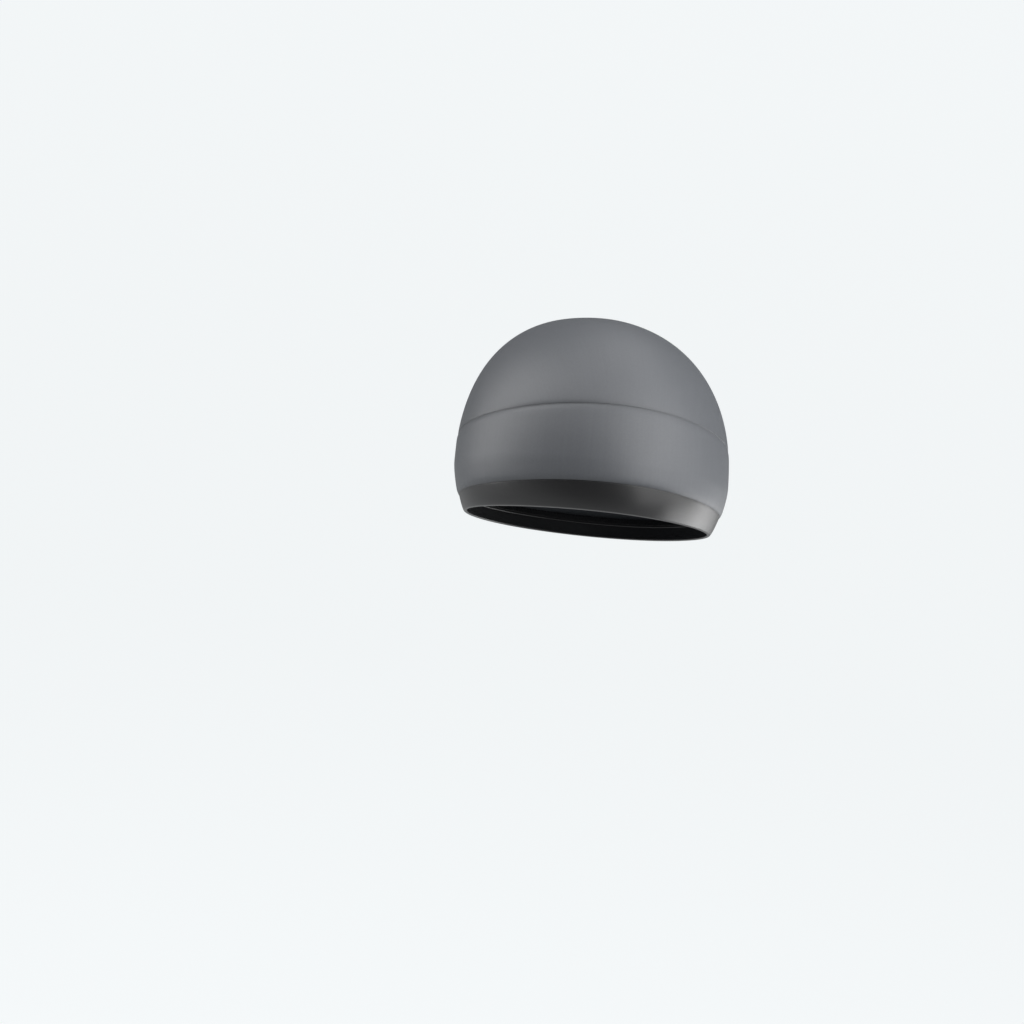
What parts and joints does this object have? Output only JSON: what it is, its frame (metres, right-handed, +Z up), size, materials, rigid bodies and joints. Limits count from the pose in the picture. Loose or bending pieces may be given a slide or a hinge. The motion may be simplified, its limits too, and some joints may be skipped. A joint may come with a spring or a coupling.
{
  "type": "wave cap",
  "caption": "Close stretch-knit head cap with a domed crown, a side panel and a wide elastic rim band, open below for the head.",
  "frame": {"origin": "the head_seat mount: the point where the top of an upright head meets the inside of the crown", "axes": "+Z up, -Y towards the forehead, +X towards the wearer's left; the rim slopes down from forehead to nape"},
  "size_m": [0.1638, 0.2046, 0.1474],
  "materials": {
    "crown_cloth": "satin",
    "panel_cloth": "satin",
    "band_elastic": "satin",
    "seam_thread": "matte"
  },
  "bodies": {
    "root": {"crown": "crown_cloth", "side_panel": "panel_cloth", "rim_band": "band_elastic", "crown_seam": "seam_thread", "band_seam": "seam_thread"}
  },
  "joints": []
}
